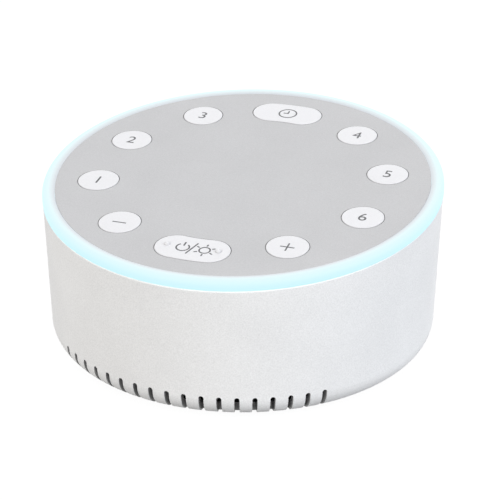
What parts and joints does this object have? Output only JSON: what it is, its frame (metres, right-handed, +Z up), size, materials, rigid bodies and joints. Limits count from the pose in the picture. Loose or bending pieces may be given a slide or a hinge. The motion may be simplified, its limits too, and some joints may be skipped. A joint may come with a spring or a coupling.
{
  "type": "white noise sound machine",
  "caption": "Round table-top sound machine with a slanted control panel, light ring, push keys and a speaker behind front slots.",
  "frame": {"origin": "on the standing surface, under the centre of the round body", "axes": "+Z up, +Y towards the power inlet at the rear, -Y towards the sound slots at the front"},
  "size_m": [0.12, 0.1197, 0.0567],
  "materials": {
    "white_shell": "satin moulded white with a fine pearl grain",
    "grey_panel": "matt grey, fine grain",
    "ring_glow": "frosted translucent, lit from below",
    "key_white": "smooth matt white",
    "foot_rubber": "matt",
    "black_plastic": "matt",
    "green_board": "solder mask",
    "switch_metal": "plated",
    "lamp_white": "clear",
    "screw_steel": "zinc plated",
    "basket_steel": "black",
    "magnet_ferrite": "ground",
    "pin_brass": "plated",
    "copper_coil": "wound copper",
    "cone_paper": "pressed pulp",
    "surround_rubber": "soft",
    "spider_cloth": "treated cloth",
    "gasket_foam": "foam",
    "black_cloth": "open weave",
    "terminal_board": "phenolic",
    "capacitor_can": "can",
    "ribbon_grey": "flat cable",
    "wire_black": "insulation"
  },
  "bodies": {
    "housing": {"housing_shell": "white_shell", "base_cover": "white_shell", "top_panel": "grey_panel", "light_ring": "ring_glow", "rubber_feet": "foot_rubber", "speaker_baffle": "black_plastic", "board_connectors": "black_plastic", "power_inlet": "black_plastic", "main_chip": "black_plastic", "control_board": "green_board", "main_board": "green_board", "key_switches": "switch_metal", "ring_leds": "lamp_white", "base_screws": "screw_steel", "board_screws": "screw_steel", "baffle_screws": "screw_steel", "top_screws": "screw_steel", "speaker_screws": "screw_steel", "main_board_screws": "screw_steel", "speaker_frame": "basket_steel", "speaker_top_plate": "basket_steel", "speaker_yoke": "basket_steel", "speaker_magnet": "magnet_ferrite", "inlet_pin": "pin_brass", "speaker_surround": "surround_rubber", "speaker_spider": "spider_cloth", "speaker_gasket": "gasket_foam", "grille_cloth": "black_cloth", "speaker_terminals": "terminal_board", "capacitors": "capacitor_can", "ribbon_cable": "ribbon_grey", "speaker_wires": "wire_black"},
    "power_light_key_unit": {"power_light_key": "key_white", "power_light_plunger": "black_plastic"},
    "timer_key_unit": {"timer_key": "key_white", "timer_plunger": "black_plastic"},
    "volume_up_key_unit": {"volume_up_key": "key_white", "volume_up_plunger": "black_plastic"},
    "volume_down_key_unit": {"volume_down_key": "key_white", "volume_down_plunger": "black_plastic"},
    "sound_key_1_unit": {"sound_key_1": "key_white", "sound_plunger_1": "black_plastic"},
    "sound_key_2_unit": {"sound_key_2": "key_white", "sound_plunger_2": "black_plastic"},
    "sound_key_3_unit": {"sound_key_3": "key_white", "sound_plunger_3": "black_plastic"},
    "sound_key_4_unit": {"sound_key_4": "key_white", "sound_plunger_4": "black_plastic"},
    "sound_key_5_unit": {"sound_key_5": "key_white", "sound_plunger_5": "black_plastic"},
    "sound_key_6_unit": {"sound_key_6": "key_white", "sound_plunger_6": "black_plastic"},
    "speaker_motor": {"speaker_cone": "cone_paper", "voice_coil": "copper_coil", "dust_cap": "cone_paper"}
  },
  "joints": [
    {"name": "power_light_key_press", "type": "slide", "parent": "housing", "child": "power_light_key_unit", "axis": [0, 0.0962, -0.9954], "range_m": [0, 0.0005], "stiffness_N_per_m": 2000},
    {"name": "timer_key_press", "type": "slide", "parent": "housing", "child": "timer_key_unit", "axis": [0, 0.0962, -0.9954], "range_m": [0, 0.0005], "stiffness_N_per_m": 2000},
    {"name": "volume_up_key_press", "type": "slide", "parent": "housing", "child": "volume_up_key_unit", "axis": [0, 0.0962, -0.9954], "range_m": [0, 0.0005], "stiffness_N_per_m": 2000},
    {"name": "volume_down_key_press", "type": "slide", "parent": "housing", "child": "volume_down_key_unit", "axis": [0, 0.0962, -0.9954], "range_m": [0, 0.0005], "stiffness_N_per_m": 2000},
    {"name": "sound_key_1_press", "type": "slide", "parent": "housing", "child": "sound_key_1_unit", "axis": [0, 0.0962, -0.9954], "range_m": [0, 0.0005], "stiffness_N_per_m": 2000},
    {"name": "sound_key_2_press", "type": "slide", "parent": "housing", "child": "sound_key_2_unit", "axis": [0, 0.0962, -0.9954], "range_m": [0, 0.0005], "stiffness_N_per_m": 2000},
    {"name": "sound_key_3_press", "type": "slide", "parent": "housing", "child": "sound_key_3_unit", "axis": [0, 0.0962, -0.9954], "range_m": [0, 0.0005], "stiffness_N_per_m": 2000},
    {"name": "sound_key_4_press", "type": "slide", "parent": "housing", "child": "sound_key_4_unit", "axis": [0, 0.0962, -0.9954], "range_m": [0, 0.0005], "stiffness_N_per_m": 2000},
    {"name": "sound_key_5_press", "type": "slide", "parent": "housing", "child": "sound_key_5_unit", "axis": [0, 0.0962, -0.9954], "range_m": [0, 0.0005], "stiffness_N_per_m": 2000},
    {"name": "sound_key_6_press", "type": "slide", "parent": "housing", "child": "sound_key_6_unit", "axis": [0, 0.0962, -0.9954], "range_m": [0, 0.0005], "stiffness_N_per_m": 2000},
    {"name": "speaker_cone_travel", "type": "slide", "parent": "housing", "child": "speaker_motor", "axis": [0, 0, 1], "range_m": [-0.001, 0.001], "stiffness_N_per_m": 1500, "deforming": ["speaker_surround", "speaker_spider"]}
  ]
}
